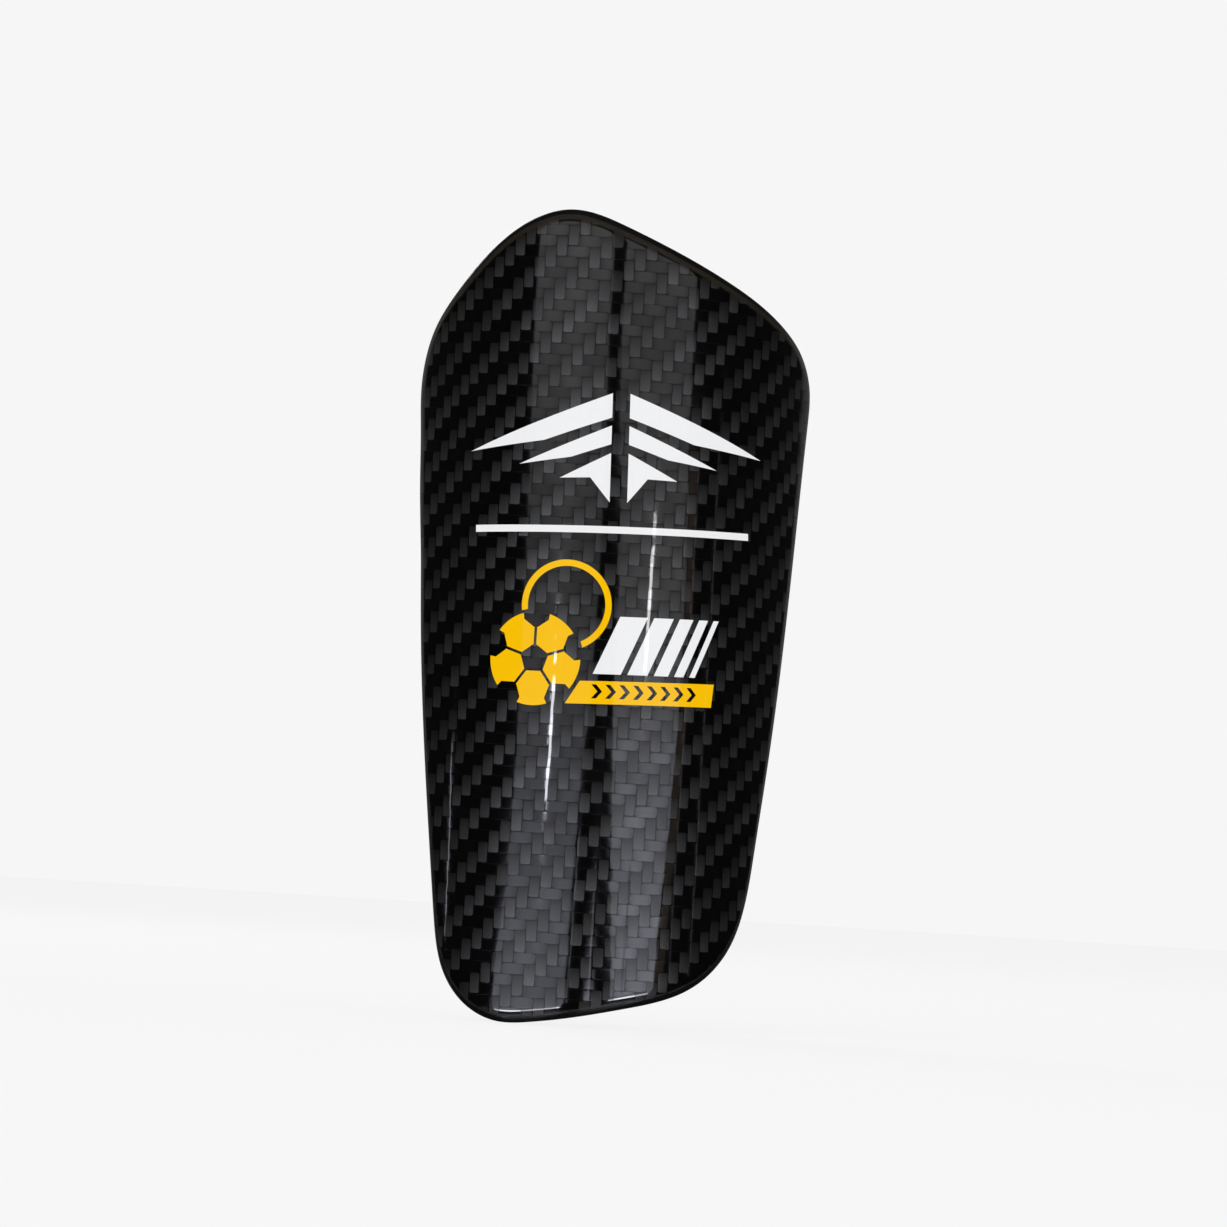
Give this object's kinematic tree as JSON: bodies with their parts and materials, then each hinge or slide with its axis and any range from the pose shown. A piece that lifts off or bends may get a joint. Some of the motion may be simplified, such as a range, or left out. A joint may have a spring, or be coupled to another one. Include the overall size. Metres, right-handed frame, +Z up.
{
  "type": "shin guard",
  "caption": "Curved slip-in shin guard: glossy woven-carbon shell with plain printed graphics, over a foam pad with a knit lining.",
  "frame": {"origin": "apex of the lining's skin-side face, on the guard's middle line at mid height", "axes": "+Z up the leg towards the knee, -Y out of the guard's front, +X to the wearer's left"},
  "size_m": [0.0923, 0.0303, 0.1862],
  "materials": {
    "clear_coat": "gloss clear resin",
    "edge_resin": "dark amber resin, gloss",
    "carbon_twill": "2x2 carbon twill in epoxy",
    "carbon_core": "cured carbon laminate",
    "carbon_back": "peel-ply carbon twill",
    "adhesive": "transfer adhesive film",
    "foam": "closed-cell EVA foam",
    "knit": "brushed polyester knit",
    "print_white": "white printed film",
    "print_yellow": "yellow printed film"
  },
  "bodies": {
    "root": {"clear_coat": "clear_coat", "edge_seal": "edge_resin", "face_ply": "carbon_twill", "core_ply_front": "carbon_core", "core_ply_rear": "carbon_core", "back_ply": "carbon_back", "adhesive_film": "adhesive", "foam_pad": "foam", "lining": "knit", "emblem_left_wing": "print_white", "emblem_right_wing": "print_white", "divider_bar": "print_white", "ring_badge": "print_yellow", "ball_badge": "print_yellow", "slanted_stripes": "print_white", "chevron_banner": "print_yellow"}
  },
  "joints": []
}
